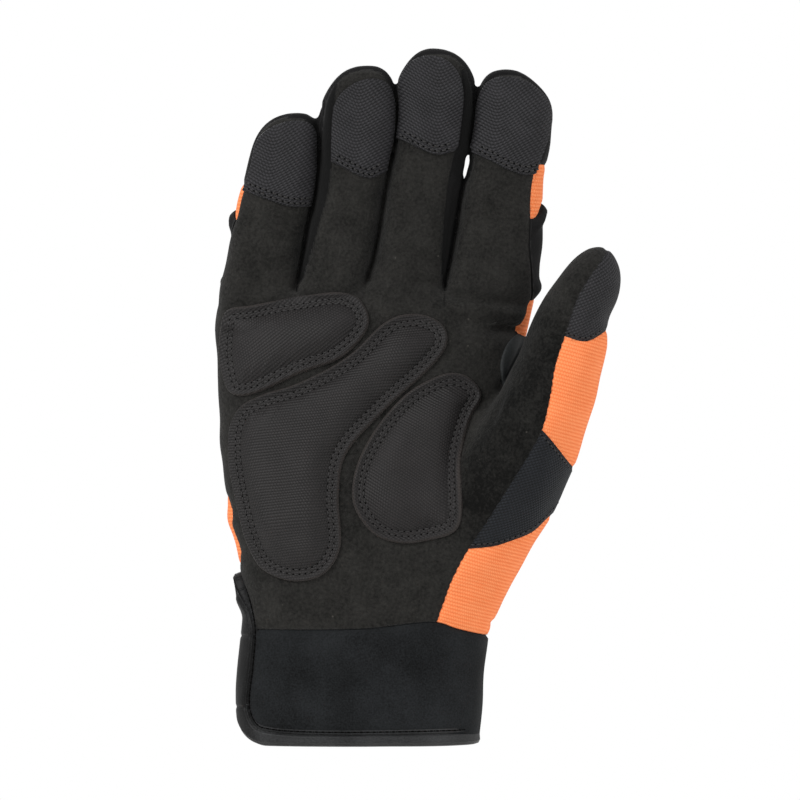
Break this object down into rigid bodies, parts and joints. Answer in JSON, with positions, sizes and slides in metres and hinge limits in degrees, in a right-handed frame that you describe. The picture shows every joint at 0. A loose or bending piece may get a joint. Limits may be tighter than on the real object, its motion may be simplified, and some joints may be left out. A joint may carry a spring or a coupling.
{
  "type": "anti-vibration glove",
  "caption": "Right-hand padded work glove with suede palm and finger fronts, raised gel pads, textured fingertips, orange knit back and a neoprene cuff with a slit and strap.",
  "frame": {"origin": "middle of the wrist opening at the cuff's lower edge, where the hand goes in", "axes": "+Z along the hand to the fingertips, -Y out of the palm, +X to the thumb's side"},
  "size_m": [0.1441, 0.0603, 0.2499],
  "materials": {
    "suede": "matte",
    "stretch": "matte",
    "textured": "satin",
    "orange_knit": "matte",
    "neoprene": "matte",
    "tape": "satin"
  },
  "bodies": {
    "root": {"palm_panel": "suede", "hand_back": "orange_knit", "finger_front_little": "suede", "finger_front_ring": "suede", "finger_front_middle": "suede", "finger_front_index": "suede", "tip_back_little": "stretch", "tip_back_ring": "stretch", "tip_back_middle": "stretch", "tip_back_index": "stretch", "finger_back_little": "orange_knit", "finger_back_ring": "orange_knit", "finger_back_middle": "orange_knit", "finger_back_index": "orange_knit", "knuckle_band_little": "stretch", "knuckle_band_ring": "stretch", "knuckle_band_middle": "stretch", "knuckle_band_index": "stretch", "sidewall_little_ring": "stretch", "sidewall_ring_middle": "stretch", "sidewall_middle_index": "stretch", "thumb_front": "suede", "thumb_cap": "textured", "thumb_back": "orange_knit", "thumb_saddle": "textured", "thumb_root": "orange_knit", "tip_patch_little": "textured", "tip_patch_ring": "textured", "tip_patch_middle": "textured", "tip_patch_index": "textured", "pad_finger_roots": "textured", "pad_palm": "textured", "pad_thumb_ball": "textured", "crotch_patch": "stretch", "cuff": "neoprene", "cuff_binding": "tape", "wrist_strap": "tape"}
  },
  "joints": []
}
